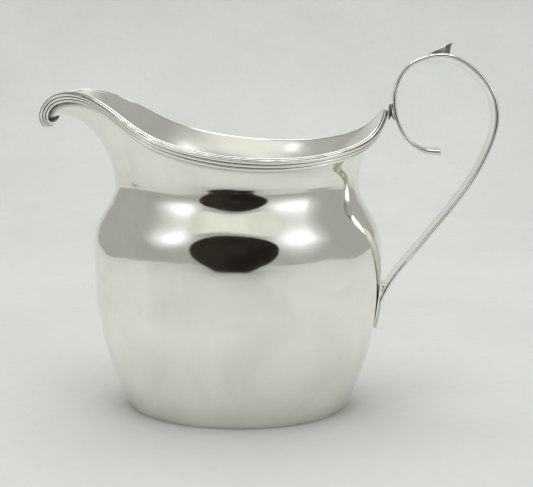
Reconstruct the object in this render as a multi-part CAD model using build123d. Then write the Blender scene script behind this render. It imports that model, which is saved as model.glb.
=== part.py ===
from build123d import *
import os
from math import cos, pi, radians, sin

import numpy as np

# Silver cream jug, in millimetres.
# The origin is the centre of the base's underside. +X points to the handle, -X to the spout, +Z up.
# The jug is a mirror image of itself across the XZ plane, but for the handle's loop, which leans back.

# Sheet and joints
WALL = 0.6  # thickness of the raised sheet
SOLDER_FILM = 0.05  # gap that solder fills between two soldered faces
PLAN_RATIO = 0.74  # half-width over half-length of every level ring of the body

# Side profile of the body from the base to the neck: (height, half-length of the oval)
NECK_HEIGHT = 66.0
PROFILE = [
    (0.0, 31.2),
    (3.5, 33.2),
    (10.0, 35.9),
    (20.0, 38.8),
    (31.0, 40.7),
    (42.0, 41.4),
    (49.0, 41.1),
    (53.5, 39.9),
    (57.5, 37.7),
    (60.5, 35.9),
    (63.0, 34.85),
    (64.5, 34.6),
    (NECK_HEIGHT, 34.6),
]

# Rim of the body, one half: from the back, under the handle, round to the middle of the lip
RIM = [
    (41.2, 0.0, 85.9),
    (39.9, 9.5, 83.2),
    (35.6, 17.6, 79.0),
    (26.5, 23.7, 75.9),
    (14.5, 27.6, 74.7),
    (2.0, 28.9, 75.1),
    (-10.5, 27.9, 77.0),
    (-21.5, 24.8, 80.4),
    (-30.2, 19.6, 85.4),
    (-37.4, 14.2, 89.2),
    (-44.6, 9.8, 90.8),
    (-51.2, 8.4, 89.0),
    (-54.0, 7.9, 84.6),
    (-53.9, 5.6, 81.7),
    (-53.4, 0.0, 80.8),
]
RIM_FLARE = (8.0, 14.0, 22.0, 28.0, 30.0, 30.0, 28.0, 26.0, 22.0)  # degrees off upright, back to throat

# Spout: two rows of guide points between the neck and the last six rim points
SPOUT_UPPER = [
    (-36.0, 12.6, 84.6),
    (-43.6, 8.6, 86.3),
    (-49.6, 7.6, 86.0),
    (-51.2, 7.0, 85.6),
    (-52.2, 4.9, 86.2),
    (-52.4, 0.0, 86.4),
]
SPOUT_LOWER = [
    (-33.2, 11.8, 79.0),
    (-37.6, 8.4, 82.0),
    (-39.2, 6.2, 85.5),
    (-39.4, 4.6, 86.8),
    (-39.5, 2.4, 87.0),
    (-39.5, 0.0, 87.0),
]
GUIDE_REACH = 0.28  # how far the upper guide lies from the rim, as a share of the wall there
GUIDE_SHARE = (0.3, 0.3, 0.5)  # where the lower guide lies between the neck and the rim
NECK_RISE = 0.28  # how far the wall keeps upright above the neck, as a share of its rise to the rim
SPOUT_NECK_RISE = 6.2  # the same at the spout, in mm

# Reeded moulding wire along the outside of the rim
WIRE_HEIGHTS = [3.5, 3.5, 3.4, 3.4, 3.4, 3.4, 3.3, 3.2, 3.0, 2.8, 2.7, 2.6, 2.5, 2.4, 2.4]  # by rim point
WIRE_DEPTH = 1.1
REED_GROOVE_DEPTH = 0.45
WIRE_EDGE_DEPTH = 0.35
REEDS = 3

# Base plate let into the bottom of the body
BASE_THICKNESS = 0.9
BASE_WALL = 0.75  # level width of the leaning wall at the base
SEAM_WIDTH = 1.4
SEAM_LIP = 0.2
SEAM_HEIGHT = 1.1

# Handle: a flat outer strap and a flat inner scroll
STRAP_WIDTH = 8.0
STRAP_THICKNESS = 0.95
TAIL_WIDTH = 3.0
STRAP_PATH = [
    (53.0, 99.85),
    (57.4, 100.2),
    (61.8, 98.9),
    (65.9, 96.1),
    (69.0, 92.7),
    (71.0, 89.1),
    (71.9, 85.3),
    (71.8, 81.0),
    (70.4, 75.9),
    (67.6, 69.6),
    (62.8, 61.9),
    (56.0, 53.0),
    (48.9, 44.1),
    (44.0, 37.6),
    (42.1, 34.0),
]
TAIL_HEIGHTS = (31.4, 29.6, 27.6, 25.4, 23.2)  # the tail lies on the body from the first to the last
TAIL_THICKNESS = 0.5
TAIL_FILM = 0.1  # solder between the tail and the body
TAIL_BLEND = 0.08  # share of the strap's length over which it thins toward the tail
SCROLL_PATH = [
    (56.8, 74.3),
    (53.4, 74.5),
    (49.9, 75.9),
    (46.8, 78.8),
    (44.9, 82.3),
    (43.9, 86.3),
    (43.9, 90.2),
    (45.1, 93.9),
    (47.9, 97.5),
    (50.4, 98.9),
    (52.85, 99.76),
]
SCROLL_END_THICKNESS = 1.5  # the free end is left a little thicker
LEAN_ANGLE = 8.0  # degrees by which the top of the loop leans back, toward +Y
LEAN_START = 80.0  # height at which the lean begins
LEAN_FULL = 90.0  # height above which the loop leans by the whole angle

# Thumb spur in the fork of the two straps
SPUR_OUTLINE = [(53.3, 100.85), (56.9, 102.6), (60.2, 104.4), (59.3, 102.6), (59.0, 100.85)]
SPUR_WIDTH = 6.4
SPUR_TIP_WIDTH = 2.4
SPUR_POINT_LENGTH = 2.5

# Solder fillets at the two ends of the handle
RIM_SOLDER_OUTLINE = [(42.4, 87.0), (43.3, 87.7), (43.3, 85.2), (44.2, 82.4), (43.0, 84.2), (42.4, 82.6)]
RIM_SOLDER_WIDTH = 5.0
TAIL_SOLDER_OUTLINE = [(41.3, 33.5), (42.55, 36.9), (41.9, 36.6), (41.35, 36.9)]
TAIL_SOLDER_WIDTH = 5.4

# How finely the skins are drawn
RING_POINTS = 48
RING_ARCS = 8
RING_U = np.arange(RING_POINTS) / RING_POINTS
LOWER_HEIGHTS = (0, 4, 10, 20, 31, 42, 49, 53.5, 57.5, 60.5, 63, 64.5)
UPPER_STEPS = 12
UPPER_LEVELS = [1 + i / UPPER_STEPS for i in range(UPPER_STEPS + 1)]
LEVELS = [height / NECK_HEIGHT for height in LOWER_HEIGHTS] + UPPER_LEVELS
BACK_STEPS = 6
STRIP_SECTIONS = 40
NORMAL_STEP = 1e-3
MESH_TOLERANCE = 0.2
MESH_ANGLE = 0.5


def spline(knots, values, closed=False):
    """Return a function that follows the smooth cubic curve through the values at the knots."""
    knots = np.asarray(knots, float)
    values = np.asarray(values, float)
    count = len(knots)
    step = np.diff(knots)
    rise = (np.diff(values, axis=0).T / step).T
    matrix = np.zeros((count, count))
    right = np.zeros_like(values)
    for i in range(1, count - 1):
        matrix[i, i - 1] = step[i]
        matrix[i, i] = 2 * (step[i - 1] + step[i])
        matrix[i, i + 1] = step[i - 1]
        right[i] = 3 * (step[i] * rise[i - 1] + step[i - 1] * rise[i])
    if closed:
        matrix[0, 0], matrix[0, -1] = 1, -1
        matrix[-1, -2], matrix[-1, 0], matrix[-1, 1] = step[0], 2 * (step[0] + step[-1]), step[-1]
        right[-1] = 3 * (step[0] * rise[-1] + step[-1] * rise[0])
    else:
        matrix[0, 0], matrix[0, 1] = 2, 1
        matrix[-1, -1], matrix[-1, -2] = 2, 1
        right[0], right[-1] = 3 * rise[0], 3 * rise[-1]
    slopes = np.linalg.solve(matrix, right)

    def follow(at):
        at = np.asarray(at, float)
        i = np.clip(np.searchsorted(knots, at, side="right") - 1, 0, count - 2)
        s = (at - knots[i]) / step[i]
        gap = step[i]
        if values.ndim > 1:
            s, gap = s[..., None], gap[..., None]
        start = (1 + 2 * s) * (1 - s) ** 2 * values[i] + s * (1 - s) ** 2 * gap * slopes[i]
        end = s**2 * (3 - 2 * s) * values[i + 1] + s**2 * (s - 1) * gap * slopes[i + 1]
        return start + end

    return follow


def lengths_along(points):
    """Distance along a row of points, from 0 at the first one."""
    steps = np.linalg.norm(np.diff(np.asarray(points, float), axis=0), axis=1)
    return np.concatenate([[0.0], np.cumsum(steps)])


def both_sides(half):
    """Complete a closed ring from its +Y half, whose first and last points lie on the XZ plane."""
    half = np.asarray(half, float)
    return np.vstack([half, half[-2::-1] * (1, -1, 1)])


# The rim's stations are numbered by the distance along the rim, as a share of its whole length.
RIM_RING = both_sides(RIM)
STATIONS = lengths_along(RIM_RING) / lengths_along(RIM_RING)[-1]
ANGLES = np.unwrap(np.arctan2(RIM_RING[:, 1] / PLAN_RATIO, RIM_RING[:, 0]))
ANGLES[-1] = 2 * pi
rim_at = spline(STATIONS, RIM_RING, closed=True)
turn_at = spline(STATIONS, ANGLES - 2 * pi * STATIONS, closed=True)
half_length_at = spline(*zip(*PROFILE))


def level_ring(u, height):
    """Points of the oval ring of the lower body at one height."""
    angle = turn_at(u) + 2 * pi * u
    half_length = half_length_at(height)
    z = height + 0 * u
    return np.stack([half_length * np.cos(angle), PLAN_RATIO * half_length * np.sin(angle), z], axis=-1)


def guide_rings():
    """Build the two closed guide curves that shape the wall between the neck and the rim."""
    neck = level_ring(STATIONS[: len(RIM)], NECK_HEIGHT)
    rim = np.asarray(RIM)
    outward = neck * (PLAN_RATIO, 1 / PLAN_RATIO, 0)
    outward /= np.linalg.norm(outward, axis=1)[:, None]
    upper, lower = [], []
    for i, degrees in enumerate(RIM_FLARE):
        flare = radians(degrees)
        reach = GUIDE_REACH * np.linalg.norm(rim[i] - neck[i])
        edge_way = outward[i] * sin(flare) + np.array((0, 0, cos(flare)))
        upper.append(rim[i] - reach * edge_way)
        lower.append(neck[i] + (rim[i] - neck[i]) * GUIDE_SHARE)
    upper = both_sides(np.vstack([upper, SPOUT_UPPER]))
    lower = both_sides(np.vstack([lower, SPOUT_LOWER]))
    return spline(STATIONS, upper, closed=True), spline(STATIONS, lower, closed=True)


def station_values(half):
    """Closed smooth curve through one number for each station of the half rim."""
    return spline(STATIONS, list(half) + list(half)[-2::-1], closed=True)


upper_guide_at, lower_guide_at = guide_rings()
SIDE_RISES = [NECK_RISE * (point[2] - NECK_HEIGHT) for point in RIM[: len(RIM_FLARE)]]
neck_rise_at = station_values(SIDE_RISES + [SPOUT_NECK_RISE] * len(SPOUT_LOWER))
wire_height_at = station_values(WIRE_HEIGHTS)


def wall_ring(u, t):
    """Points of the outer wall at share t of the way from the neck (0) to the rim (1)."""
    neck = level_ring(u, NECK_HEIGHT)
    above_neck = neck + neck_rise_at(u)[..., None] * np.array((0, 0, 1))
    t = np.asarray(t, float)[..., None]
    s = 1 - t
    return (
        s**4 * neck
        + 4 * s**3 * t * above_neck
        + 6 * s**2 * t**2 * lower_guide_at(u)
        + 4 * s * t**3 * upper_guide_at(u)
        + t**4 * rim_at(u)
    )


def outer_skin(u, v):
    """Points of the whole outer skin: v runs from 0 at the base to 1 at the neck and 2 at the rim."""
    if np.max(v) <= 1:
        return level_ring(u, v * NECK_HEIGHT)
    return wall_ring(u, v - 1)


def outward_normals(u, v):
    """Unit normals of the outer skin, pointing away from the cream."""
    around = outer_skin((u + NORMAL_STEP) % 1, v) - outer_skin((u - NORMAL_STEP) % 1, v)
    low, high = np.maximum(v - NORMAL_STEP, 0), np.minimum(v + NORMAL_STEP, 2)
    if np.max(v) <= 1:
        high = np.minimum(high, 1)
    upward = outer_skin(u, high) - outer_skin(u, low)
    normals = np.cross(around, upward)
    return normals / np.linalg.norm(normals, axis=1)[:, None]


def inner_ring(u, v):
    """Points of the inner skin: the outer skin moved in by the wall."""
    ring = outer_skin(u, v) - WALL * outward_normals(u, v)
    if v == 0:
        ring[:, 2] = 0
    return ring


def place_below_rim(u, depth):
    """Places v on the outer skin at a distance below the rim, measured along the wall."""
    levels = 2 - np.linspace(0, 0.75, 60)
    rows = np.stack([outer_skin(u, v) for v in levels])
    steps = np.linalg.norm(np.diff(rows, axis=0), axis=2)
    depths = np.vstack([np.zeros(len(u)), np.cumsum(steps, axis=0)])
    return np.array([np.interp(depth[i], depths[:, i], levels) for i in range(len(u))])


def wire_ring(share, out):
    """Ring of points on the moulding wire: a share of its height below the rim, and out from the wall."""
    v = place_below_rim(RING_U, share * wire_height_at(RING_U))
    return outer_skin(RING_U, v) + out * outward_normals(RING_U, v)


def closed_wire(points):
    """Closed smooth wire through a ring of points, in arcs that share their tangents where they meet."""
    ring = [Vector(*map(float, p)) for p in points]
    count = len(ring)
    places = list(range(count // RING_ARCS + 1))
    edges = []
    for start in range(0, count, places[-1]):
        row = [ring[(start + i) % count] for i in places]
        tangents = [ring[(i + 1) % count] - ring[i - 1] for i in (start, (start + places[-1]) % count)]
        edges.append(Edge.make_spline(row, tangents=tangents, parameters=places))
    return Wire(edges)


def faces_outward(solid):
    """Whether a solid's faces point away from its material, from the sign of its volume when meshed."""
    points, triangles = solid.tessellate(MESH_TOLERANCE, MESH_ANGLE)
    corners = np.array([tuple(point) for point in points])[np.array(triangles)]
    first, second, third = corners[:, 0], corners[:, 1], corners[:, 2]
    return np.sum(first * np.cross(second, third)) > 0


def solid_of(shells):
    """Sew shells that meet along their edges into one closed solid."""
    faces = [face for shell in shells for face in shell.faces()]
    solid = Solid(Shell(faces))
    return solid if faces_outward(solid) else Solid(solid.wrapped.Reversed())


def make_body():
    """Raised sheet shell with its spout, open at the top and at the bottom."""
    outer = [closed_wire(outer_skin(RING_U, v)) for v in LEVELS]
    inner = [closed_wire(inner_ring(RING_U, v)) for v in LEVELS]
    return solid_of([
        Shell.make_loft(outer),
        Shell.make_loft(inner),
        Shell.make_loft([outer[-1], inner[-1]], ruled=True),
        Shell.make_loft([outer[0], inner[0]], ruled=True),
    ])


def make_rim_wire():
    """Reeded moulding wire, closed on itself, along the outside of the rim."""
    grooves = [closed_wire(wire_ring(i / REEDS, WIRE_DEPTH - REED_GROOVE_DEPTH)) for i in range(REEDS + 1)]
    grooves[0] = closed_wire(wire_ring(0, WIRE_EDGE_DEPTH))
    grooves[-1] = closed_wire(wire_ring(1, WIRE_EDGE_DEPTH))
    crests = [closed_wire(wire_ring((i + 0.5) / REEDS, WIRE_DEPTH)) for i in range(REEDS)]
    back = [closed_wire(wire_ring(i / BACK_STEPS, SOLDER_FILM)) for i in range(BACK_STEPS + 1)]
    shells = [Shell.make_loft([grooves[i], crests[i], grooves[i + 1]]) for i in range(REEDS)]
    shells.append(Shell.make_loft(back))
    shells.append(Shell.make_loft([grooves[0], back[0]], ruled=True))
    shells.append(Shell.make_loft([grooves[-1], back[-1]], ruled=True))
    return solid_of(shells)


def oval_at(height, inset):
    """Oval of the body at a height, made smaller all round by an inset."""
    half_length = float(half_length_at(height))
    return Pos(0, 0, height) * Ellipse(half_length - inset, PLAN_RATIO * half_length - inset)


def make_base_plate():
    """Flat oval plate let into the bottom edge of the body."""
    inset = BASE_WALL + SOLDER_FILM
    return loft([oval_at(0, inset), oval_at(BASE_THICKNESS, inset)])


def make_base_seam_solder():
    """Ring of solder in the corner between the base plate and the wall."""
    low, high = BASE_THICKNESS, BASE_THICKNESS + SEAM_HEIGHT
    inset = BASE_WALL + SOLDER_FILM
    outside = loft([oval_at(low, inset), oval_at(high, inset)])
    hollow = loft([oval_at(low, inset + SEAM_WIDTH), oval_at(high, inset + SEAM_LIP)])
    return (outside - hollow).solid()


def lean_at(height):
    """How far the loop has leant back at a height, and its lean there as a slope."""
    full = np.tan(radians(LEAN_ANGLE))
    run = LEAN_FULL - LEAN_START
    risen = np.clip(height - LEAN_START, 0, run)
    above = np.maximum(height - LEAN_FULL, 0)
    return full * (risen**2 / (2 * run) + above), full * risen / run


def strip(path, width_at, thickness_at):
    """Flat strip along a path of the XZ plane, leaning back with the loop. Its sizes follow the share s."""
    lengths = lengths_along(path)
    follow = spline(lengths / lengths[-1], path)
    sections = []
    for s in np.linspace(0, 1, STRIP_SECTIONS):
        x, z = follow(s)
        along_x, along_z = follow(min(s + NORMAL_STEP, 1)) - follow(max(s - NORMAL_STEP, 0))
        leant, slope = lean_at(z)
        across = np.array((0, 1, -slope))
        across /= np.linalg.norm(across)
        away = np.cross((along_x, slope * along_z, along_z), across)
        away /= np.linalg.norm(away)
        centre = np.array((x, leant, z))
        side, depth = across * width_at(s) / 2, away * thickness_at(s) / 2
        corners = [centre + side + depth, centre - side + depth, centre - side - depth, centre + side - depth]
        sections.append(Wire.make_polygon([Vector(*map(float, corner)) for corner in corners]))
    return Solid.make_loft(sections)


def tail_point(height):
    """Middle of the strap where it lies on the body at a height."""
    return (float(half_length_at(height)) + TAIL_THICKNESS / 2 + TAIL_FILM, height)


def make_handle_strap():
    """Outer strap from the fork, over and down to the belly, with its tapered tail on the body."""
    tail = [tail_point(height) for height in TAIL_HEIGHTS]
    path = STRAP_PATH + tail
    lengths = lengths_along(path)
    tail_from = lengths[len(STRAP_PATH)] / lengths[-1]

    def taper(s, full, end):
        beyond = max(s - tail_from, 0) / (1 - tail_from)
        return full + (end - full) * beyond

    def thickness(s):
        near_tail = min(max((s - tail_from + TAIL_BLEND) / TAIL_BLEND, 0), 1)
        return STRAP_THICKNESS + (TAIL_THICKNESS - STRAP_THICKNESS) * near_tail

    return strip(path, lambda s: taper(s, STRAP_WIDTH, TAIL_WIDTH), thickness)


def make_handle_scroll():
    """Inner scroll from its free end round to the fork."""
    def thickness(s):
        return SCROLL_END_THICKNESS + (STRAP_THICKNESS - SCROLL_END_THICKNESS) * min(4 * s, 1)

    return strip(SCROLL_PATH, lambda s: STRAP_WIDTH, thickness)


def upright_block(outline, width):
    """Block with an outline of the XZ plane, centred on that plane."""
    face = make_face(Polyline([(x, 0, z) for x, z in outline], close=True))
    return extrude(face, width / 2, both=True)


def make_thumb_spur():
    """Pointed leaf that stands up from the fork and leans back with the loop."""
    root, tip = SPUR_OUTLINE[0], SPUR_OUTLINE[2]
    half_root, half_tip = SPUR_WIDTH / 2, SPUR_TIP_WIDTH / 2
    shoulder = tip[0] - SPUR_POINT_LENGTH
    leaf = Polyline(
        (root[0], -half_root),
        (root[0], half_root),
        (shoulder, half_root),
        (tip[0], half_tip),
        (tip[0], -half_tip),
        (shoulder, -half_root),
        close=True,
    )
    plan = extrude(Pos(0, 0, root[1]) * make_face(leaf), tip[1] - root[1])
    leant, slope = lean_at(root[1])
    at_root = Pos(0, float(leant), root[1]) * Rot(-float(np.degrees(np.arctan(slope))), 0, 0)
    return (at_root * Pos(0, 0, -root[1]) * (upright_block(SPUR_OUTLINE, SPUR_WIDTH) & plan)).solid()


def main():
    os.makedirs("parts", exist_ok=True)
    parts = {
        "body": make_body(),
        "base_plate": make_base_plate(),
        "base_seam_solder": make_base_seam_solder(),
        "rim_wire": make_rim_wire(),
        "handle_strap": make_handle_strap(),
        "handle_scroll": make_handle_scroll(),
        "thumb_spur": make_thumb_spur(),
        "rim_joint_solder": upright_block(RIM_SOLDER_OUTLINE, RIM_SOLDER_WIDTH),
        "tail_joint_solder": upright_block(TAIL_SOLDER_OUTLINE, TAIL_SOLDER_WIDTH),
    }
    for name, part in parts.items():
        part.label = name
        export_step(part, f"parts/{name}.step")
        print(name, round(part.volume, 1), "mm3")


main()
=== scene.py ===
from math import radians

import bpy
import numpy as np
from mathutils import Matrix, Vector


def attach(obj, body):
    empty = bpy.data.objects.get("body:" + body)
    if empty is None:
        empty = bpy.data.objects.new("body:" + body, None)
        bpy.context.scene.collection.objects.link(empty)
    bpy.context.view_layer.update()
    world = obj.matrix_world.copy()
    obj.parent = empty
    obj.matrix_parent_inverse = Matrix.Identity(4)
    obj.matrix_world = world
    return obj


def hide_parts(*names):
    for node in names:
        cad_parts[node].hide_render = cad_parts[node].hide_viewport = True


# Looks for a silver cream jug. Shapes are worked out in millimetres and turned to metres on the way out.
# +X points to the handle, -X to the spout, -Y to the viewer, +Z up.
MM = 0.001

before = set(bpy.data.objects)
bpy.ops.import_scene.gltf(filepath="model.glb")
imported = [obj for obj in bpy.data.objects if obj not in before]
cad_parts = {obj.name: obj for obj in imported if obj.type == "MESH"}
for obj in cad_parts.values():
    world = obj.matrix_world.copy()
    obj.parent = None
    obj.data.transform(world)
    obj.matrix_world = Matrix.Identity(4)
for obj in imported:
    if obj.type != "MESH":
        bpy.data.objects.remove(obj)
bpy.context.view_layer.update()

# ---------------------------------------------------------------- the jug's own shape, as in the CAD

WALL = 0.6  # thickness of the raised sheet
PLAN_RATIO = 0.74  # half-width over half-length of every level ring
NECK_HEIGHT = 66.0
PROFILE = [  # (height, half-length of the oval)
    (0.0, 31.2),
    (3.5, 33.2),
    (10.0, 35.9),
    (20.0, 38.8),
    (31.0, 40.7),
    (42.0, 41.4),
    (49.0, 41.1),
    (53.5, 39.9),
    (57.5, 37.7),
    (60.5, 35.9),
    (63.0, 34.85),
    (64.5, 34.6),
    (NECK_HEIGHT, 34.6),
]
RIM = [  # one half, from under the handle round to the middle of the lip
    (41.2, 0.0, 85.9),
    (39.9, 9.5, 83.2),
    (35.6, 17.6, 79.0),
    (26.5, 23.7, 75.9),
    (14.5, 27.6, 74.7),
    (2.0, 28.9, 75.1),
    (-10.5, 27.9, 77.0),
    (-21.5, 24.8, 80.4),
    (-30.2, 19.6, 85.4),
    (-37.4, 14.2, 89.2),
    (-44.6, 9.8, 90.8),
    (-51.2, 8.4, 89.0),
    (-54.0, 7.9, 84.6),
    (-53.9, 5.6, 81.7),
    (-53.4, 0.0, 80.8),
]
RIM_FLARE = (8.0, 14.0, 22.0, 28.0, 30.0, 30.0, 28.0, 26.0, 22.0)
SPOUT_UPPER = [
    (-36.0, 12.6, 84.6),
    (-43.6, 8.6, 86.3),
    (-49.6, 7.6, 86.0),
    (-51.2, 7.0, 85.6),
    (-52.2, 4.9, 86.2),
    (-52.4, 0.0, 86.4),
]
SPOUT_LOWER = [
    (-33.2, 11.8, 79.0),
    (-37.6, 8.4, 82.0),
    (-39.2, 6.2, 85.5),
    (-39.4, 4.6, 86.8),
    (-39.5, 2.4, 87.0),
    (-39.5, 0.0, 87.0),
]
GUIDE_REACH = 0.28
GUIDE_SHARE = (0.3, 0.3, 0.5)
NECK_RISE = 0.28
SPOUT_NECK_RISE = 6.2

WIRE_HEIGHTS = [3.5, 3.5, 3.4, 3.4, 3.4, 3.4, 3.3, 3.2, 3.0, 2.8, 2.7, 2.6, 2.5, 2.4, 2.4]
WIRE_DEPTH = 1.09
REEDS = 3
REED_CROWN = 0.10  # mm that each reed's face falls off as a gentle curve
REED_DEPTH = 0.50  # mm more that it falls off close to its grooves
GROOVE_START = 0.72  # share of a reed's half-width where the painted shade of its groove begins

BASE_THICKNESS = 0.9
BASE_WALL = 0.75
PLATE_GAP = 0.05
SEAM_WIDTH = 1.4
SEAM_HEIGHT = 1.1

STRAP_WIDTH = 8.0
STRAP_THICKNESS = 0.95
TAIL_WIDTH = 3.0
STRAP_PATH = [
    (53.0, 99.85),
    (57.4, 100.2),
    (61.8, 98.9),
    (65.9, 96.1),
    (69.0, 92.7),
    (71.0, 89.1),
    (71.9, 85.3),
    (71.8, 81.0),
    (70.4, 75.9),
    (67.6, 69.6),
    (62.8, 61.9),
    (56.0, 53.0),
    (48.9, 44.1),
    (44.0, 37.6),
    (42.1, 34.0),
]
TAIL_HEIGHTS = (31.4, 29.6, 27.6, 25.4, 23.2)
TAIL_THICKNESS = 0.5
TAIL_FILM = 0.1
TAIL_BLEND = 0.08
SCROLL_PATH = [
    (56.8, 74.3),
    (53.4, 74.5),
    (49.9, 75.9),
    (46.8, 78.8),
    (44.9, 82.3),
    (43.9, 86.3),
    (43.9, 90.2),
    (45.1, 93.9),
    (47.9, 97.5),
    (50.4, 98.9),
    (52.85, 99.76),
]
SCROLL_END_THICKNESS = 1.5
LEAN_ANGLE = 8.0
LEAN_START = 80.0
LEAN_FULL = 90.0

# ---------------------------------------------------------------- detail that only the looks have

NORMAL_STEP = 1e-3  # step along a curve or skin from which its direction is measured
RIM_SEARCH_SHARE = 0.75  # how far below the rim depths are measured, as a share of the upper wall
RIM_SEARCH_ROWS = 90
AROUND = 384  # points round the body and the wire
WAVE_SEED = 11
WAVE_COUNT = 46
WAVE_SIZE = 0.019  # mm, size of one planishing wave
WAVE_SHIFT = 0.070  # mm, how far in the waved skin lies on average
SKIN_CLEARANCE = 0.003  # mm, how far every shown skin stays inside the plain shape
DENTS = [  # (x, y, z, radius, depth) in mm of small knocks in the sheet
    (15.4, -24.3, 11.8, 2.6, 0.10),
    (-37.8, -8.5, 25.5, 3.4, 0.12),
    (-12.0, -27.4, 20.0, 5.0, 0.05),
    (27.0, -22.0, 34.0, 6.0, 0.05),
    (6.0, 28.0, 30.0, 3.0, 0.10),
]


def spline(knots, values, closed=False):
    """Return a function that follows the smooth cubic curve through the values at the knots."""
    knots = np.asarray(knots, float)
    values = np.asarray(values, float)
    count = len(knots)
    step = np.diff(knots)
    rise = (np.diff(values, axis=0).T / step).T
    matrix = np.zeros((count, count))
    right = np.zeros_like(values)
    for i in range(1, count - 1):
        matrix[i, i - 1] = step[i]
        matrix[i, i] = 2 * (step[i - 1] + step[i])
        matrix[i, i + 1] = step[i - 1]
        right[i] = 3 * (step[i] * rise[i - 1] + step[i - 1] * rise[i])
    if closed:
        matrix[0, 0], matrix[0, -1] = 1, -1
        matrix[-1, -2], matrix[-1, 0], matrix[-1, 1] = step[0], 2 * (step[0] + step[-1]), step[-1]
        right[-1] = 3 * (step[0] * rise[-1] + step[-1] * rise[0])
    else:
        matrix[0, 0], matrix[0, 1] = 2, 1
        matrix[-1, -1], matrix[-1, -2] = 2, 1
        right[0], right[-1] = 3 * rise[0], 3 * rise[-1]
    slopes = np.linalg.solve(matrix, right)

    def follow(at):
        at = np.asarray(at, float)
        i = np.clip(np.searchsorted(knots, at, side="right") - 1, 0, count - 2)
        s = (at - knots[i]) / step[i]
        gap = step[i]
        if values.ndim > 1:
            s, gap = s[..., None], gap[..., None]
        start = (1 + 2 * s) * (1 - s) ** 2 * values[i] + s * (1 - s) ** 2 * gap * slopes[i]
        end = s**2 * (3 - 2 * s) * values[i + 1] + s**2 * (s - 1) * gap * slopes[i + 1]
        return start + end

    return follow


def lengths_along(points):
    """Distance along a row of points, from 0 at the first one."""
    steps = np.linalg.norm(np.diff(np.asarray(points, float), axis=0), axis=1)
    return np.concatenate([[0.0], np.cumsum(steps)])


def both_sides(half):
    """Complete a closed ring from its +Y half."""
    half = np.asarray(half, float)
    return np.vstack([half, half[-2::-1] * (1, -1, 1)])


RIM_RING = both_sides(RIM)
STATIONS = lengths_along(RIM_RING) / lengths_along(RIM_RING)[-1]
ANGLES = np.unwrap(np.arctan2(RIM_RING[:, 1] / PLAN_RATIO, RIM_RING[:, 0]))
ANGLES[-1] = 2 * np.pi
rim_at = spline(STATIONS, RIM_RING, closed=True)
turn_at = spline(STATIONS, ANGLES - 2 * np.pi * STATIONS, closed=True)
half_length_at = spline(*zip(*PROFILE))


def level_ring(u, height):
    """Points of the oval ring of the lower body at one height."""
    angle = turn_at(u) + 2 * np.pi * u
    half_length = half_length_at(height)
    z = height + 0 * u
    return np.stack([half_length * np.cos(angle), PLAN_RATIO * half_length * np.sin(angle), z], axis=-1)


def guide_rings():
    """Build the two closed guide curves that shape the wall between the neck and the rim."""
    neck = level_ring(STATIONS[: len(RIM)], NECK_HEIGHT)
    rim = np.asarray(RIM)
    outward = neck * (PLAN_RATIO, 1 / PLAN_RATIO, 0)
    outward /= np.linalg.norm(outward, axis=1)[:, None]
    upper, lower = [], []
    for i, degrees in enumerate(RIM_FLARE):
        flare = radians(degrees)
        reach = GUIDE_REACH * np.linalg.norm(rim[i] - neck[i])
        edge_way = outward[i] * np.sin(flare) + np.array((0, 0, np.cos(flare)))
        upper.append(rim[i] - reach * edge_way)
        lower.append(neck[i] + (rim[i] - neck[i]) * GUIDE_SHARE)
    upper = both_sides(np.vstack([upper, SPOUT_UPPER]))
    lower = both_sides(np.vstack([lower, SPOUT_LOWER]))
    return spline(STATIONS, upper, closed=True), spline(STATIONS, lower, closed=True)


def station_values(half):
    """Closed smooth curve through one number for each station of the half rim."""
    return spline(STATIONS, list(half) + list(half)[-2::-1], closed=True)


upper_guide_at, lower_guide_at = guide_rings()
SIDE_RISES = [NECK_RISE * (point[2] - NECK_HEIGHT) for point in RIM[: len(RIM_FLARE)]]
neck_rise_at = station_values(SIDE_RISES + [SPOUT_NECK_RISE] * len(SPOUT_LOWER))
wire_height_at = station_values(WIRE_HEIGHTS)


def wall_ring(u, t):
    """Points of the outer wall at share t of the way from the neck (0) to the rim (1)."""
    neck = level_ring(u, NECK_HEIGHT)
    above_neck = neck + neck_rise_at(u)[..., None] * np.array((0, 0, 1))
    t = np.asarray(t, float)[..., None]
    s = 1 - t
    return (
        s**4 * neck
        + 4 * s**3 * t * above_neck
        + 6 * s**2 * t**2 * lower_guide_at(u)
        + 4 * s * t**3 * upper_guide_at(u)
        + t**4 * rim_at(u)
    )


def outer_skin(u, v):
    """Points of the whole outer skin: v runs from 0 at the base to 1 at the neck and 2 at the rim."""
    if np.max(v) <= 1:
        return level_ring(u, v * NECK_HEIGHT)
    return wall_ring(u, v - 1)


def outward_normals(u, v):
    """Unit normals of the outer skin, pointing away from the cream."""
    around = outer_skin((u + NORMAL_STEP) % 1, v) - outer_skin((u - NORMAL_STEP) % 1, v)
    low, high = np.maximum(v - NORMAL_STEP, 0), np.minimum(v + NORMAL_STEP, 2)
    if np.max(v) <= 1:
        high = np.minimum(high, 1)
    upward = outer_skin(u, high) - outer_skin(u, low)
    normals = np.cross(around, upward)
    return normals / np.linalg.norm(normals, axis=1)[:, None]


def place_below_rim(u, depth):
    """Places v on the outer skin at a distance below the rim, measured along the wall."""
    levels = 2 - np.linspace(0, RIM_SEARCH_SHARE, RIM_SEARCH_ROWS)
    rows = np.stack([outer_skin(u, v) for v in levels])
    steps = np.linalg.norm(np.diff(rows, axis=0), axis=2)
    depths = np.vstack([np.zeros(len(u)), np.cumsum(steps, axis=0)])
    return np.array([np.interp(depth[i], depths[:, i], levels) for i in range(len(u))])


# ---------------------------------------------------------------- mesh helpers


def smooth_step(low, high, at):
    """Rise smoothly from 0 at low to 1 at high."""
    share = np.clip((at - low) / (high - low), 0, 1)
    return share * share * (3 - 2 * share)


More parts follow.
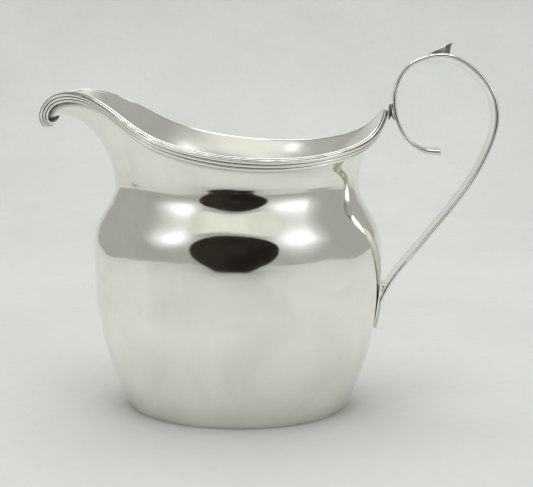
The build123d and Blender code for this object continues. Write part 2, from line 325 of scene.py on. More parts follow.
def make_piece(name, points, faces, node, masks=None):
    """Build a smooth-shaded piece from points in mm that stands for a CAD node."""
    mesh = bpy.data.meshes.new(name)
    mesh.from_pydata([tuple(map(float, p)) for p in np.asarray(points) * MM], [], faces)
    mesh.validate()
    for attribute, values in (masks or {}).items():
        layer = mesh.attributes.new(attribute, "FLOAT", "POINT")
        layer.data.foreach_set("value", np.asarray(values, np.float32))
    mesh.polygons.foreach_set("use_smooth", [True] * len(mesh.polygons))
    mesh.update()
    piece = bpy.data.objects.new(name, mesh)
    bpy.context.scene.collection.objects.link(piece)
    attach(piece, "root")
    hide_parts(node)
    return piece


def tube_faces(rows, columns, close_rows=False, close_columns=True):
    """Quads between neighbouring points of a grid whose points are listed row by row."""
    faces = []
    for i in range(rows if close_rows else rows - 1):
        for j in range(columns if close_columns else columns - 1):
            a, b = i * columns, (i + 1) % rows * columns
            k = (j + 1) % columns
            faces.append((a + j, a + k, b + k, b + j))
    return faces


def planish_waves(points):
    """Height in mm of the soft unevenness of hand-raised sheet at each point, always below zero."""
    draw = np.random.default_rng(WAVE_SEED)
    angle = np.arctan2(points[:, 1] / PLAN_RATIO, points[:, 0])
    height = points[:, 2]
    total = np.zeros(len(points))
    for _ in range(WAVE_COUNT):
        turns = draw.integers(2, 15)
        rise = draw.uniform(-0.34, 0.34)
        start = draw.uniform(0, 2 * np.pi)
        total += WAVE_SIZE * np.cos(turns * angle + rise * height + start) / (0.35 + turns / 9)
    total = np.minimum(total - WAVE_SHIFT, -SKIN_CLEARANCE)
    for x, y, z, radius, depth in DENTS:
        away = np.linalg.norm(points - (x, y, z), axis=1)
        total -= depth * np.exp(-((away / radius) ** 2))
    return total


# ---------------------------------------------------------------- body

RING_U = np.arange(AROUND) / AROUND
EDGE_DEPTH = 0.16  # where the top edge's rounding starts, below the rim
WAVES_FADE_BY_RIM = (0.5, 6.0)  # mm from the rim
WAVES_FADE_BY_FOOT = (0.0, 4.0)  # mm above the foot
CORNER_PAINTED_SHADE = (2.6, 5.2)  # mm from the rim over which the painted shade below the wire thins out
FOOT_EASING = 0.12  # how far the foot's two edges are eased, as a share of the first row


def skin_levels():
    """Places v of the body's rows, closer together where the skin bends most."""
    lower = np.concatenate([np.linspace(0, 46, 40), np.linspace(47, 65.4, 46)]) / NECK_HEIGHT
    upper = 1 + np.linspace(0, 1, 110)[:-1]
    return np.concatenate([lower, upper])


def body_rows():
    """Rows of outer points and of their normals, from the base to just below the rim."""
    outer, normals = [], []
    for v in skin_levels():
        outer.append(outer_skin(RING_U, v))
        normals.append(outward_normals(RING_U, v))
    top_v = place_below_rim(RING_U, np.full(AROUND, EDGE_DEPTH))
    outer[-1] = outer_skin(RING_U, place_below_rim(RING_U, np.full(AROUND, 3 * EDGE_DEPTH)))
    outer.append(outer_skin(RING_U, top_v))
    normals.append(outward_normals(RING_U, top_v))
    return outer, normals


def make_body():
    """Raised sheet with a rounded top edge and foot edge."""
    outer, normals = body_rows()
    rows = []
    for ring, normal in zip(outer, normals):
        rim_fade = smooth_step(*WAVES_FADE_BY_RIM, np.linalg.norm(ring - rim_at(RING_U), axis=1))
        foot_fade = smooth_step(*WAVES_FADE_BY_FOOT, ring[:, 2])
        waves = planish_waves(ring) * rim_fade * foot_fade
        rows.append(ring + waves[:, None] * normal)
    inner = [ring - WALL * normal for ring, normal in zip(rows, normals)]
    inner[0][:, 2] = 0

    rim = rim_at(RING_U)
    up = rim - rows[-1]
    up /= np.linalg.norm(up, axis=1)[:, None]
    middle = (rows[-1] + inner[-1]) / 2
    edge = []
    for angle in np.linspace(0, np.pi, 9)[1:-1]:
        out = normals[-1] * (WALL / 2 * np.sign(np.cos(angle)) * abs(np.cos(angle)) ** 0.6)
        edge.append(middle + out + up * EDGE_DEPTH * np.sin(angle) ** 0.6)

    foot = []
    flat = (inner[0] - rows[0]) * (1, 1, 0)
    flat /= np.linalg.norm(flat, axis=1)[:, None]
    width = np.linalg.norm((inner[0] - rows[0]) * (1, 1, 0), axis=1)
    for share in (0.1, 0.3, 0.5, 0.7, 0.9):
        foot.append(rows[0] + flat * (width * share)[:, None])
    rows[0] = rows[0] + (rows[1] - rows[0]) * FOOT_EASING
    inner[0] = inner[0] + (inner[1] - inner[0]) * FOOT_EASING

    grid = rows + edge + inner[::-1] + foot[::-1]
    points = np.concatenate(grid)
    faces = tube_faces(len(grid), AROUND, close_rows=True)
    outer_count = len(rows) + len(edge) // 2
    row_counts = (outer_count, len(grid) - outer_count - len(foot), len(foot))
    inside = np.repeat((0, 1, 0), np.multiply(row_counts, AROUND))
    # Painted shade: the outer sheet is darkened along the rim, just below the wire, and thins out further
    # down.
    from_rim = np.linalg.norm(points - np.tile(rim, (len(grid), 1)), axis=1)
    corner = (1 - smooth_step(*CORNER_PAINTED_SHADE, from_rim)) * (1 - inside)
    body = make_piece("body_raised_sheet", points, faces, "body", {"corner": corner})
    body.data.materials.append(material_sheet)
    body.data.materials.append(material_lining)
    lining = [int(all(inside[k] for k in face)) for face in faces]
    body.data.polygons.foreach_set("material_index", lining)
    return body


# ---------------------------------------------------------------- reeded wire


def wire_profile():
    """Section of the moulding wire: (share of its height below the rim, distance out, painted shade in its
    grooves and at its lower edge).
    """
    section = [(0.04, 0.0, 0.0), (0.0, 0.10, 0.0), (0.0, 0.30, 0.0)]
    for reed in range(REEDS):
        for place in np.sin(np.linspace(-np.pi / 2, np.pi / 2, 21)):
            share = (reed + 0.5 + 0.5 * place) / REEDS
            out = WIRE_DEPTH - REED_CROWN * place**2 - REED_DEPTH * abs(place) ** 5
            section.append((share, out, smooth_step(GROOVE_START, 0.92, abs(place))))
    # The wire's lower edge, where it meets the sheet, is fully darkened as painted shade.
    section += [(1.0, 0.32, 1.0), (0.99, 0.0, 1.0)]
    return section


def make_rim_wire():
    """Moulding wire of three rounded reeds round the outside of the rim."""
    rows, painted_groove_shade = [], []
    heights = wire_height_at(RING_U)
    for share, out, deep in wire_profile():
        v = place_below_rim(RING_U, np.clip(share, 0, 1) * heights)
        rows.append(outer_skin(RING_U, v) + out * outward_normals(RING_U, v))
        # painted shade in the grooves and along the lower edge
        painted_groove_shade.append(np.full(AROUND, deep))
    wire = make_piece(
        "rim_reeded_wire",
        np.concatenate(rows),
        [face[::-1] for face in tube_faces(len(rows), AROUND, close_rows=True)],
        "rim_wire",
        {"painted_groove_shade": np.concatenate(painted_groove_shade)},
    )
    wire.data.materials.append(material_wire)
    return wire


# ---------------------------------------------------------------- base


def oval_ring(half_length, inset, z):
    """Oval of the body with a given half-length, made smaller by an inset, at height z."""
    angle = 2 * np.pi * RING_U
    x = (half_length - inset) * np.cos(angle)
    y = (PLAN_RATIO * half_length - inset) * np.sin(angle)
    return np.stack([x, y, z + 0 * x], axis=1)


def make_base_plate():
    """Oval plate with eased edges, dished up slightly in its middle."""
    low = float(half_length_at(0.0))
    high = float(half_length_at(BASE_THICKNESS))
    inset = BASE_WALL + PLATE_GAP
    dish = 0.32

    def disc(z, half_length, shares):
        rings = []
        for share in shares:
            ring = oval_ring(half_length, inset, z) * (share, share, 1)
            ring[:, 2] += dish * (1 - smooth_step(0.2, 0.94, np.full(AROUND, share)))
            rings.append(ring)
        return rings

    shares = (0.02, 0.1, 0.2, 0.3, 0.4, 0.5, 0.6, 0.7, 0.8, 0.86, 0.9, 0.94, 0.97, 0.985)
    under = disc(0.0, low, shares)
    edge = [oval_ring(low, inset + 0.02, 0.12), oval_ring(high, inset + 0.02, BASE_THICKNESS - 0.12)]
    above = disc(BASE_THICKNESS, high, shares[::-1])
    rings = under + edge + above
    points = np.vstack([*rings, [(0, 0, dish)], [(0, 0, BASE_THICKNESS + dish)]])
    faces = tube_faces(len(rings), AROUND)
    under_hub, above_hub = len(points) - 2, len(points) - 1
    last = (len(rings) - 1) * AROUND
    for j in range(AROUND):
        k = (j + 1) % AROUND
        faces.append((under_hub, j, k))
        faces.append((above_hub, last + k, last + j))
    plate = make_piece("base_plate_oval", points, faces, "base_plate")
    plate.data.materials.append(material_base)
    return plate


def make_seam_solder():
    """Hollow fillet of solder, slightly lumpy, in the corner inside the foot."""
    draw = np.random.default_rng(3)
    angle = 2 * np.pi * RING_U
    lumps = np.zeros(AROUND)
    for turns in range(3, 30, 2):
        size = draw.uniform(0.02, 0.05)
        lumps += size * np.cos(turns * angle + draw.uniform(0, 6.28))
    low, high = BASE_THICKNESS, BASE_THICKNESS + SEAM_HEIGHT
    inset = BASE_WALL + PLATE_GAP
    rings = []
    for share in np.linspace(0, 1, 11):
        z = low + (high - low) * share
        wide = (1 - share) ** 2.2 * (SEAM_WIDTH - 0.25 + lumps) + 0.06
        half_length = half_length_at(z)
        x = (half_length - inset - wide) * np.cos(angle)
        y = (PLAN_RATIO * half_length - inset - wide) * np.sin(angle)
        rings.append(np.stack([x, y, np.full(AROUND, z)], axis=1))
    for z in (high, low):
        rings.append(oval_ring(float(half_length_at(z)), inset + 0.01, z))
    faces = tube_faces(len(rings), AROUND, close_rows=True)
    points = np.concatenate(rings)
    seam = make_piece("base_seam_solder_fillet", points, faces, "base_seam_solder")
    # Its near-black colour is painted shade in the corner inside the foot.
    seam.data.materials.append(material_solder_shade)
    return seam


# ---------------------------------------------------------------- handle


def lean_at(height):
    """How far the loop has leant back at a height, and its lean there as a slope."""
    full = np.tan(radians(LEAN_ANGLE))
    run = LEAN_FULL - LEAN_START
    risen = np.clip(height - LEAN_START, 0, run)
    above = np.maximum(height - LEAN_FULL, 0)
    return full * (risen**2 / (2 * run) + above), full * risen / run


FACE_SHARES = (0.7, 0.35, 0, -0.35, -0.7)  # where the points of a strap's broad face lie across it


def strip_section(half_width, half_depth, corner):
    """Points round a flat bar's section with rounded corners: (across, through)."""
    section = []
    for side, depth, start in ((1, 1, 0), (-1, 1, 90), (-1, -1, 180), (1, -1, 270)):
        for angle in np.radians(start + np.linspace(0, 90, 6)):
            across = side * (half_width - corner) + corner * np.cos(angle)
            section.append((across, depth * (half_depth - corner) + corner * np.sin(angle)))
        if start in (0, 180):
            section += [(side * half_width * share, depth * half_depth) for share in FACE_SHARES]
    return section


STRAP_SECTIONS = 260
SCROLL_SECTIONS = 160
STRAP_CORNER = 0.84  # radius of the strap's rounded corners, as a share of half its thickness
HANDLE_EDGE_SHADE = 0.85  # how dark the painted shade is along the strap's long edges
END_CAP_SHARE = 0.82  # size of the flat middle of a strap's end, as a share of its outline
# How far the flat end caps are darkened, with the same near-black colour.
END_CAP_DARKENING = 0.2


def make_strip(name, path, width_at, thickness_at, node, sections):
    """Strap with rounded edges along a path of the XZ plane, leaning back with the loop."""
    lengths = lengths_along(path)
    follow = spline(lengths / lengths[-1], path)
    rows, edge_darkening = [], []
    for s in np.linspace(0, 1, sections):
        x, z = follow(s)
        along_x, along_z = follow(min(s + NORMAL_STEP, 1)) - follow(max(s - NORMAL_STEP, 0))
        leant, slope = lean_at(z)
        across = np.array((0, 1, -slope))
        across /= np.linalg.norm(across)
        away = np.cross((along_x, slope * along_z, along_z), across)
        away /= np.linalg.norm(away)
        centre = np.array((x, leant, z))
        half_width, half_depth = width_at(s) / 2, thickness_at(s) / 2 - SKIN_CLEARANCE
        section = strip_section(half_width, half_depth, STRAP_CORNER * half_depth)
        rows.append([centre + across * a + away * b for a, b in section])
        for a, b in section:
            # Painted shade: the rounded corners of each section are darkened, so dark lines run along the
            # strap's long edges.
            near_face = smooth_step(0.72, 0.98, abs(b) / half_depth)
            near_side = smooth_step(0.7, 0.9, abs(a) / half_width)
            edge_darkening.append(HANDLE_EDGE_SHADE * float(near_face * near_side))
    count = len(rows[0])
    points = np.concatenate(rows)
    faces = tube_faces(len(rows), count)
    # The two ends are closed with flat caps: a rim of quads round a fan.
    for row, forward in ((0, 1), (len(rows) - 1, -1)):
        ring = points[row * count : (row + 1) * count]
        middle = ring.mean(axis=0)
        start = len(points)
        inner = middle + (ring - middle) * END_CAP_SHARE
        points = np.vstack([points, inner, [middle]])
        edge_darkening += [END_CAP_DARKENING] * (count + 1)
        for j in range(count):
            k = (j + 1) % count
            outer_quad = (row * count + j, start + j, start + k, row * count + k)
            hub = (start + j, start + count, start + k)
            faces.append(outer_quad[::forward])
            faces.append(hub[::forward])
    piece = make_piece(name, points, faces, node, {"edge": edge_darkening})
    piece.data.materials.append(material_handle)
    return piece


def tail_point(height):
    """Middle of the strap where it lies on the body at a height."""
    return (float(half_length_at(height)) + TAIL_THICKNESS / 2 + TAIL_FILM, height)


def make_handle_strap():
    """Outer strap from the fork, over and down to the belly, with its tapered tail on the body."""
    path = STRAP_PATH + [tail_point(height) for height in TAIL_HEIGHTS]
    lengths = lengths_along(path)
    tail_from = lengths[len(STRAP_PATH)] / lengths[-1]

    def width(s):
        beyond = max(s - tail_from, 0) / (1 - tail_from)
        return STRAP_WIDTH + (TAIL_WIDTH - STRAP_WIDTH) * beyond

    def thickness(s):
        near_tail = min(max((s - tail_from + TAIL_BLEND) / TAIL_BLEND, 0), 1)
        return STRAP_THICKNESS + (TAIL_THICKNESS - STRAP_THICKNESS) * near_tail

    return make_strip("handle_outer_strap", path, width, thickness, "handle_strap", STRAP_SECTIONS)


def make_handle_scroll():
    """Inner scroll from its free end round to the fork."""

    def thickness(s):
        return SCROLL_END_THICKNESS + (STRAP_THICKNESS - SCROLL_END_THICKNESS) * min(4 * s, 1)

    def width(s):
        return STRAP_WIDTH

    return make_strip("handle_inner_scroll", SCROLL_PATH, width, thickness, "handle_scroll", SCROLL_SECTIONS)


# ---------------------------------------------------------------- thumb spur and solder


def leant(points):
    """Lean points of the spur back with the loop, about the line of its root."""
    points = np.asarray(points, float).copy()
    offset, slope = lean_at(SPUR_ROOT[1])
    turn = np.arctan(slope)
    y, z = points[:, 1].copy(), points[:, 2] - SPUR_ROOT[1]
    points[:, 1] = offset + y * np.cos(turn) + z * np.sin(turn)
    points[:, 2] = SPUR_ROOT[1] - y * np.sin(turn) + z * np.cos(turn)
    return points


SPUR_ROOT = (53.3, 100.85)
SPUR_TOP = [SPUR_ROOT, (55.2, 101.8), (57.2, 102.8), (60.15, 104.35)]
SPUR_HEEL = [(60.15, 104.35), (59.45, 103.2), (59.15, 102.0), (59.0, 100.9)]
SPUR_HALF_WIDTH = 3.15
SPUR_TIP_HALF_WIDTH = 1.2
SPUR_TAPER_START = 57.2
SPUR_ROUNDING = 0.22
SPUR_TOP_POINTS = 22
SPUR_HEEL_POINTS = 14


def spur_outline():
    """Side outline of the spur, root to tip along the top, down the hollow heel and back along the foot."""
    top = spline(lengths_along(SPUR_TOP), SPUR_TOP)
    heel = spline(lengths_along(SPUR_HEEL), SPUR_HEEL)
    along_top = top(np.linspace(0, lengths_along(SPUR_TOP)[-1], SPUR_TOP_POINTS))
    down_heel = heel(np.linspace(0, lengths_along(SPUR_HEEL)[-1], SPUR_HEEL_POINTS))
    foot_x = np.linspace(59.0, SPUR_ROOT[0], 16)[1:-1]
    along_foot = np.stack([foot_x, np.full(len(foot_x), SPUR_ROOT[1] + 0.02)], axis=1)
    return np.vstack([along_top, down_heel[1:], along_foot])


def make_thumb_spur():
    """Pointed leaf with a hollow heel and eased edges, standing up from the fork."""
    outline = spur_outline()
    middle = np.array((57.3, 101.9))
    taper = smooth_step(SPUR_TAPER_START, SPUR_TOP[-1][0], outline[:, 0])
    half_widths = SPUR_HALF_WIDTH + (SPUR_TIP_HALF_WIDTH - SPUR_HALF_WIDTH) * taper
    to_middle = middle - outline
    to_middle /= np.linalg.norm(to_middle, axis=1)[:, None]
    layers = []
    for angle in np.radians((-90, -60, -30, 0, 0, 30, 60, 90)):
        side = -1 if len(layers) < 4 else 1
        inset = SPUR_ROUNDING * (1 - np.cos(angle))
        ring = outline + to_middle * inset
        y = side * (half_widths - SPUR_ROUNDING) + SPUR_ROUNDING * np.sin(angle)
        layers.append(np.stack([ring[:, 0], y, ring[:, 1]], axis=1))
    count = len(outline)
    hubs = [(middle[0], y, middle[1]) for y in (-SPUR_HALF_WIDTH, SPUR_HALF_WIDTH)]
    points = np.vstack([*layers, hubs])
    faces = [face[::-1] for face in tube_faces(len(layers), count)]
    last = (len(layers) - 1) * count
    for j in range(count):
        k = (j + 1) % count
        faces.append((j, k, len(points) - 2))
        faces.append((last + k, last + j, len(points) - 1))
    # Painted shade darkens the two cheeks and the hollow heel. The top edge is left without it, so it stays
    # bright.
    painted_cheek_shade = np.zeros(len(points))
    painted_cheek_shade[:count] = 0.8
    painted_cheek_shade[last : last + count] = 0.8
    painted_cheek_shade[-2:] = 1.0
    for k in range(1, len(layers) - 1):
        heel_start = k * count + SPUR_TOP_POINTS
        painted_cheek_shade[heel_start : heel_start + SPUR_HEEL_POINTS - 1] = 0.6
    masks = {"painted_cheek_shade": painted_cheek_shade}
    spur = make_piece("thumb_spur_leaf", leant(points), faces, "thumb_spur", masks)
    spur.data.materials.append(material_spur)
    return spur


LUMP_END_SIZE = 0.72  # size of a lump's two ends, as a share of its middle


def make_lump(name, outline, width, seed, material):
    """Organic lump of solder that fills a side outline and thins toward its two ends."""
    draw = np.random.default_rng(seed)
    outline = np.asarray(outline, float)
    loop = np.vstack([outline, outline[:1]])
    lengths = lengths_along(loop)
    count, slices = 48, 21
    at = np.linspace(0, lengths[-1], count, endpoint=False)
    ring = np.stack([np.interp(at, lengths, loop[:, 0]), np.interp(at, lengths, loop[:, 1])], axis=1)
    for _ in range(2):
        ring = (np.roll(ring, 1, axis=0) + 2 * ring + np.roll(ring, -1, axis=0)) / 4
    middle = ring.mean(axis=0)
    rows = []
    for s in np.linspace(-1, 1, slices):
        narrow = LUMP_END_SIZE + (1 - LUMP_END_SIZE) * (1 - s**4)
        wobble = 1 - 0.10 * draw.uniform(0, 1, count)
        for _ in range(4):
            wobble = (np.roll(wobble, 1) + 2 * wobble + np.roll(wobble, -1)) / 4
        shape = middle + (ring - middle) * (narrow * wobble)[:, None]
        rows.append(np.stack([shape[:, 0], np.full(count, s * width / 2), shape[:, 1]], axis=1))
    hubs = [rows[0].mean(axis=0), rows[-1].mean(axis=0)]
    points = np.vstack([*rows, hubs[0][None], hubs[1][None]])
    faces = tube_faces(slices, count)
    last = (slices - 1) * count
    for j in range(count):
        k = (j + 1) % count
        faces.append((k, j, len(points) - 2))
        faces.append((last + j, last + k, len(points) - 1))
    lump = make_piece(f"{name}_lump", points, faces, name)
    lump.data.materials.append(material)
    return lump


RIM_SOLDER_OUTLINE = [(42.4, 87.0), (43.3, 87.7), (43.3, 85.2), (44.2, 82.4), (43.0, 84.2), (42.4, 82.6)]
RIM_SOLDER_WIDTH = 5.0
TAIL_SOLDER_OUTLINE = [(41.3, 33.5), (42.55, 36.9), (41.9, 36.6), (41.35, 36.9)]
TAIL_SOLDER_WIDTH = 5.4

# ---------------------------------------------------------------- materials


class Nodes:
    """Short way to build a node material."""

    def __init__(self, name):
        self.material = bpy.data.materials.new(name)
        self.material.use_nodes = True
        self.tree = self.material.node_tree
        self.tree.nodes.clear()
        self.shader = self.add("ShaderNodeBsdfPrincipled")
        output = self.add("ShaderNodeOutputMaterial")
        self.link(self.shader.outputs["BSDF"], output.inputs["Surface"])
        self.place = self.add("ShaderNodeTexCoord").outputs["Object"]

    def add(self, kind, **values):
        node = self.tree.nodes.new(kind)
        for key, value in values.items():
            setattr(node, key, value)
        return node

    def link(self, source, target):
        self.tree.links.new(source, target)

    def stretched(self, scale, turn=(0, 0, 0)):
        """Object coordinates scaled unevenly, for marks that run one way."""
        mapping = self.add("ShaderNodeMapping")
        mapping.inputs["Scale"].default_value = scale
        mapping.inputs["Rotation"].default_value = [radians(a) for a in turn]
        self.link(self.place, mapping.inputs["Vector"])
        return mapping.outputs["Vector"]

    def noise(self, scale, detail=3.0, rough=0.55, at=None, warp=0.0):
        node = self.add("ShaderNodeTexNoise")
        node.inputs["Scale"].default_value = scale
        node.inputs["Detail"].default_value = detail
        node.inputs["Roughness"].default_value = rough
        node.inputs["Distortion"].default_value = warp
        self.link(at or self.place, node.inputs["Vector"])
        return node.outputs["Fac"]

    def spread(self, value, low, high, to_low=0.0, to_high=1.0):
        node = self.add("ShaderNodeMapRange", interpolation_type="SMOOTHSTEP")
        self.link(value, node.inputs["Value"])
        node.inputs["From Min"].default_value = low
        node.inputs["From Max"].default_value = high
        node.inputs["To Min"].default_value = to_low
        node.inputs["To Max"].default_value = to_high
        return node.outputs["Result"]

    def mix(self, share, first, second):
        node = self.add("ShaderNodeMix", data_type="RGBA")
        for source, key in ((share, 0), (first, 6), (second, 7)):
            if isinstance(source, bpy.types.NodeSocket):
                self.link(source, node.inputs[key])
            else:
                node.inputs[key].default_value = source
        return node.outputs[2]

    def math(self, operation, first, second):
        node = self.add("ShaderNodeMath", operation=operation)
        for source, key in ((first, 0), (second, 1)):
            if isinstance(source, bpy.types.NodeSocket):
                self.link(source, node.inputs[key])
            else:
                node.inputs[key].default_value = source
        return node.outputs[0]

    def mask(self, name):
        node = self.add("ShaderNodeAttribute", attribute_name=name)
        return node.outputs["Fac"]

    def bump(self, height, distance, strength=1.0, below=None):
        node = self.add("ShaderNodeBump")
        node.inputs["Distance"].default_value = distance
        node.inputs["Strength"].default_value = strength
        self.link(height, node.inputs["Height"])
        if below is not None:
            self.link(below, node.inputs["Normal"])
        return node.outputs["Normal"]


PAINTED_SHADE_COLOUR = (0.022, 0.019, 0.022, 1)  # near-black colour of the painted shade in grooves, joints and along edges


def silver_material(name, bright, dull, rough, shine_marks, painted_shade_mask=None, pits=0.0):
    """Polished old silver: hairline scratches two ways, cloudy polish, painted shade where a mask asks for
    it, and small knocks.
    """
    n = Nodes(name)
    n.shader.inputs["Metallic"].default_value = 1.0

    cloud = n.noise(70.0, 4.0, 0.6, warp=0.4)
    patch = n.noise(42.0, 4.0, 0.55, warp=1.4)
    hair_one = n.noise(1.0, 2.0, 0.6, n.stretched((4200, 260, 900), (12, 24, 40)))
    hair_two = n.noise(1.0, 2.0, 0.6, n.stretched((300, 3900, 1100), (-20, 8, -32)))
    hair_three = n.noise(1.0, 1.0, 0.5, n.stretched((900, 420, 5200), (35, -14, 10)))
    hair = n.math("MULTIPLY", n.math("ADD", hair_one, hair_two), 0.5)
    hair = n.math("ADD", n.math("MULTIPLY", hair, 0.7), n.math("MULTIPLY", hair_three, 0.3))
    scratches = n.spread(hair, 0.56, 0.74)

    tone = n.mix(n.spread(patch, 0.3, 0.72), bright, dull)
    clouded = tuple(c * 0.93 for c in dull[:3]) + (1,)
    tone = n.mix(n.math("MULTIPLY", n.spread(cloud, 0.45, 0.8), 0.35), tone, clouded)
    base_roughness = n.spread(cloud, 0.3, 0.75, rough * 0.75, rough * 1.35)
    roughness = n.math("ADD", base_roughness, n.math("MULTIPLY", scratches, 0.08))
    # Painted shade: the masked places are darkened towards a near-black colour and made rougher.
    if painted_shade_mask is not None:
        patchy = n.spread(n.noise(320.0, 4.0), 0.28, 0.62, 0.72, 1.0)
        painted_shade = n.math("MULTIPLY", n.mask(painted_shade_mask), patchy)
        tone = n.mix(painted_shade, tone, PAINTED_SHADE_COLOUR)
        roughness = n.math("ADD", roughness, n.math("MULTIPLY", painted_shade, 0.22))
    if pits:
        specks = n.add("ShaderNodeTexVoronoi", feature="F1")
        specks.inputs["Scale"].default_value = 340.0
        n.link(n.place, specks.inputs["Vector"])
        dots = n.spread(specks.outputs["Distance"], 0.16, 0.05)
        rare = n.math("MULTIPLY", dots, n.spread(n.noise(150.0), 0.56, 0.64))
        tone = n.mix(n.math("MULTIPLY", rare, pits), tone, (0.10, 0.095, 0.09, 1))
    n.link(tone, n.shader.inputs["Base Color"])
    n.link(roughness, n.shader.inputs["Roughness"])
    fine = n.bump(scratches, 0.000004, shine_marks)
    soft = n.bump(n.noise(210.0, 2.0, 0.5), 0.000012, 0.35, fine)
    n.link(soft, n.shader.inputs["Normal"])
    return n.material


BRIGHT = (0.930, 0.922, 0.862, 1)
DULL = (0.850, 0.840, 0.780, 1)
# The masks named in these calls mark painted shade: below the wire, in the wire's grooves, along the
# handle's long edges and on the spur's cheeks.
material_sheet = silver_material("silver_sheet_polished", BRIGHT, DULL, 0.075, 0.8, "corner")
LINING_BRIGHT = (0.96, 0.95, 0.89, 1)
LINING_DULL = (0.86, 0.85, 0.79, 1)
material_lining = silver_material("silver_sheet_inside", LINING_BRIGHT, LINING_DULL, 0.20, 0.9)
material_wire = silver_material("silver_wire_reeded", BRIGHT, DULL, 0.10, 0.5, "painted_groove_shade")
BASE_BRIGHT = (0.88, 0.87, 0.83, 1)
BASE_DULL = (0.78, 0.77, 0.72, 1)
material_base = silver_material("silver_base_worn", BASE_BRIGHT, BASE_DULL, 0.24, 1.4, pits=0.8)
material_handle = silver_material("silver_handle_polished", BRIGHT, DULL, 0.11, 0.7, "edge", pits=0.9)
material_spur = silver_material("silver_spur", BRIGHT, DULL, 0.13, 0.7, "painted_cheek_shade", pits=0.6)
# The solder's near-black colour is painted shade: it fills the joint between the rim and the strap, and the
# corner inside the foot, where shade falls.
SOLDER_SHADE_LIGHT = (0.26, 0.24, 0.22, 1)
SOLDER_SHADE_DARK = (0.06, 0.055, 0.055, 1)
material_solder_shade = silver_material("silver_solder_painted_shade", SOLDER_SHADE_LIGHT, SOLDER_SHADE_DARK, 0.30, 1.6, pits=0.9)

make_body()
make_rim_wire()
make_base_plate()
make_seam_solder()
make_handle_strap()
make_handle_scroll()
make_thumb_spur()
# This lump's near-black colour is painted shade in the joint between the rim and the strap.
make_lump("rim_joint_solder", RIM_SOLDER_OUTLINE, RIM_SOLDER_WIDTH, 5, material_solder_shade)
make_lump("tail_joint_solder", TAIL_SOLDER_OUTLINE, TAIL_SOLDER_WIDTH, 9, material_spur)

# ---------------------------------------------------------------- floor, backdrop and cards


def stage_mesh(name, points, faces, material):
    """Build a stage object, in metres, which isn't part of the jug."""
    mesh = bpy.data.meshes.new(name)
    mesh.from_pydata([tuple(map(float, p)) for p in points], [], faces)
    mesh.polygons.foreach_set("use_smooth", [True] * len(mesh.polygons))
    mesh.materials.append(material)
    thing = bpy.data.objects.new(name, mesh)
    bpy.context.scene.collection.objects.link(thing)
    return thing


def paper_material():
    """Pale paper with a faint mottle and soft creases."""
    n = Nodes("stage_paper")
    mottle = n.noise(9.0, 5.0, 0.6)
    fibre = n.noise(260.0, 3.0, 0.6)
    tone = n.mix(n.spread(mottle, 0.3, 0.7), PAPER_LIGHT, PAPER_DARK)
    tone = n.mix(n.math("MULTIPLY", n.spread(fibre, 0.4, 0.7), 0.12), tone, PAPER_FIBRE)
    n.link(tone, n.shader.inputs["Base Color"])
    n.shader.inputs["Roughness"].default_value = 0.85
    n.link(n.bump(n.noise(22.0, 4.0, warp=0.6), 0.0014, 0.5), n.shader.inputs["Normal"])
    return n.material


def glow_material(name, colour, strength, mottle):
    """Card that gives off a soft, slightly uneven light."""
    n = Nodes(name)
    darker = tuple(c * (1 - mottle) for c in colour[:3]) + (1,)
    shade = n.mix(n.spread(n.noise(5.0, 2.0), 0.3, 0.7), colour, darker)
    n.shader.inputs["Base Color"].default_value = (0, 0, 0, 1)
    n.shader.inputs["Roughness"].default_value = 1.0
    n.shader.inputs["Specular IOR Level"].default_value = 0.0
    n.link(shade, n.shader.inputs["Emission Color"])
    n.shader.inputs["Emission Strength"].default_value = strength
    return n.material


PAPER_LIGHT = (0.75, 0.76, 0.745, 1)
PAPER_DARK = (0.70, 0.71, 0.695, 1)
PAPER_FIBRE = (0.62, 0.62, 0.60, 1)


FLOOR_GAP = 0.00003  # the floor lies a hair below the foot, so that their faces don't coincide


def make_sweep():
    """Floor in front of and behind the jug that curves up into the backdrop."""
    front, bend_start, radius, top = -0.50, 0.32, 0.22, 1.1
    line = [(y, -FLOOR_GAP) for y in np.linspace(front, bend_start, 30)]
    for angle in np.linspace(0, np.pi / 2, 16)[1:]:
        line.append((bend_start + radius * np.sin(angle), radius - radius * np.cos(angle) - FLOOR_GAP))
    line.append((bend_start + radius, top))
    columns = np.linspace(-0.50, 0.50, 40)
    points = [(x, y, z) for y, z in line for x in columns]
    faces = tube_faces(len(line), len(columns), close_columns=False)
    return stage_mesh("stage_sweep", points, faces, paper_material())


def make_card(name, centre, width, height, facing, material, rounding):
    """Upright or tilted card whose front looks at a point."""
    centre = Vector(centre)
    away = (centre - Vector(facing)).normalized()
    turn = away.to_track_quat("Z", "Y").to_matrix()
    steps = 24
    rim = []
    for k in range(steps * 4):
        angle = 2 * np.pi * k / (steps * 4)
        power = 0.35 + 0.65 * rounding
        x = np.sign(np.cos(angle)) * abs(np.cos(angle)) ** power * width / 2
        y = np.sign(np.sin(angle)) * abs(np.sin(angle)) ** power * height / 2
        rim.append(centre + turn @ Vector((x, y, 0)))
    points = [centre] + rim
    faces = [(0, k + 1, (k + 1) % len(rim) + 1) for k in range(len(rim))]
    return stage_mesh(name, points, faces, material)


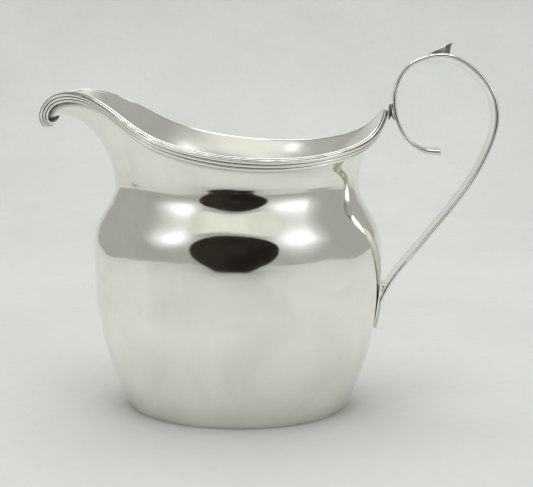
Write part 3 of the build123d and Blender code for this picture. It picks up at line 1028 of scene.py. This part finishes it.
def lamp_material(name, room, centre_strength):
    """Lamp seen through a diffuser: bright in its middle and fading into the grey of the room."""
    n = Nodes(name)
    gradient = n.add("ShaderNodeTexGradient", gradient_type="SPHERICAL")
    n.link(n.place, gradient.inputs["Vector"])
    fade = n.math("POWER", gradient.outputs["Fac"], 2.2)
    core = n.spread(gradient.outputs["Fac"], 0.84, 0.93)
    n.shader.inputs["Base Color"].default_value = (0, 0, 0, 1)
    n.shader.inputs["Roughness"].default_value = 1.0
    n.shader.inputs["Specular IOR Level"].default_value = 0.0
    n.link(n.mix(fade, room, (0.93, 0.97, 1.0, 1)), n.shader.inputs["Emission Color"])
    strength = n.math("ADD", n.math("MULTIPLY", fade, 1.2), 1.0)
    strength = n.math("ADD", strength, n.math("MULTIPLY", core, centre_strength))
    n.link(strength, n.shader.inputs["Emission Strength"])
    return n.material


def make_lamp(name, place, size, facing, centre_strength):
    """Round glowing card, a unit disc scaled to its size, that looks at a point."""
    steps, rings = 64, 6
    points = [(0, 0, 0)]
    for ring in range(1, rings + 1):
        for k in range(steps):
            angle = 2 * np.pi * k / steps
            points.append((np.cos(angle) * ring / rings, np.sin(angle) * ring / rings, 0))
    faces = [(0, k + 1, (k + 1) % steps + 1) for k in range(steps)]
    for ring in range(rings - 1):
        for k in range(steps):
            a, b = 1 + ring * steps, 1 + (ring + 1) * steps
            faces.append((a + k, b + k, b + (k + 1) % steps, a + (k + 1) % steps))
    lamp = stage_mesh(name, points, faces, lamp_material(name, ROOM_GREY, centre_strength))
    lamp.scale = (size, size, size)
    lamp.location = place
    lamp.rotation_mode = "QUATERNION"
    lamp.rotation_quaternion = (Vector(facing) - Vector(place)).to_track_quat("Z", "Y")
    return lamp


LOOK = (0.0, 0.0, 0.055)
ROOM_GREY = (0.40, 0.405, 0.385, 1)
make_sweep()
material_dark = glow_material("stage_dark", (0.030, 0.026, 0.021, 1), 1.0, 0.6)
material_white = glow_material("stage_white", (0.78, 0.80, 0.74, 1), 1.08, 0.15)
make_card("stage_dark_card", (-0.004, -0.345, 0.115), 0.34, 0.24, LOOK, material_dark, 0.8)
make_card("stage_white_card", (-0.02, -0.38, 0.46), 0.60, 0.30, LOOK, material_white, 0.4)
make_lamp("stage_lamp_left", (-0.44, -0.46, 0.36), 0.34, LOOK, 4.5)
make_lamp("stage_lamp_right", (0.40, -0.44, 0.33), 0.40, LOOK, 3.0)


def add_area(name, centre, size, power):
    """Soft square lamp that looks at the jug."""
    lamp = bpy.data.lights.new(name, "AREA")
    lamp.shape = "SQUARE"
    lamp.size = size
    lamp.energy = power
    thing = bpy.data.objects.new(name, lamp)
    thing.location = centre
    thing.rotation_mode = "QUATERNION"
    thing.rotation_quaternion = (Vector(LOOK) - Vector(centre)).to_track_quat("-Z", "Y")
    bpy.context.scene.collection.objects.link(thing)
    return thing


add_area("soft_top", (0.0, 0.0, 1.3), 1.1, 9.8)

world = bpy.data.worlds.new("room")
bpy.context.scene.world = world
world.use_nodes = True
world.node_tree.nodes["Background"].inputs["Color"].default_value = ROOM_GREY
world.node_tree.nodes["Background"].inputs["Strength"].default_value = 1.0

# ---------------------------------------------------------------- camera

CAMERA_PLACE = (0.02141, -0.29935, 0.10349)
CAMERA_AIM = (-0.04288, 0.98208, -0.18358)
camera_data = bpy.data.cameras.new("camera")
camera_data.sensor_width = 36.0
camera_data.lens = 71.79
camera_data.clip_start = 0.01
camera_data.clip_end = 20.0
camera = bpy.data.objects.new("camera", camera_data)
camera.location = CAMERA_PLACE
camera.rotation_mode = "QUATERNION"
camera.rotation_quaternion = Vector(CAMERA_AIM).to_track_quat("-Z", "Y")
bpy.context.scene.collection.objects.link(camera)
bpy.context.scene.camera = camera

bpy.context.scene.view_settings.view_transform = "Standard"
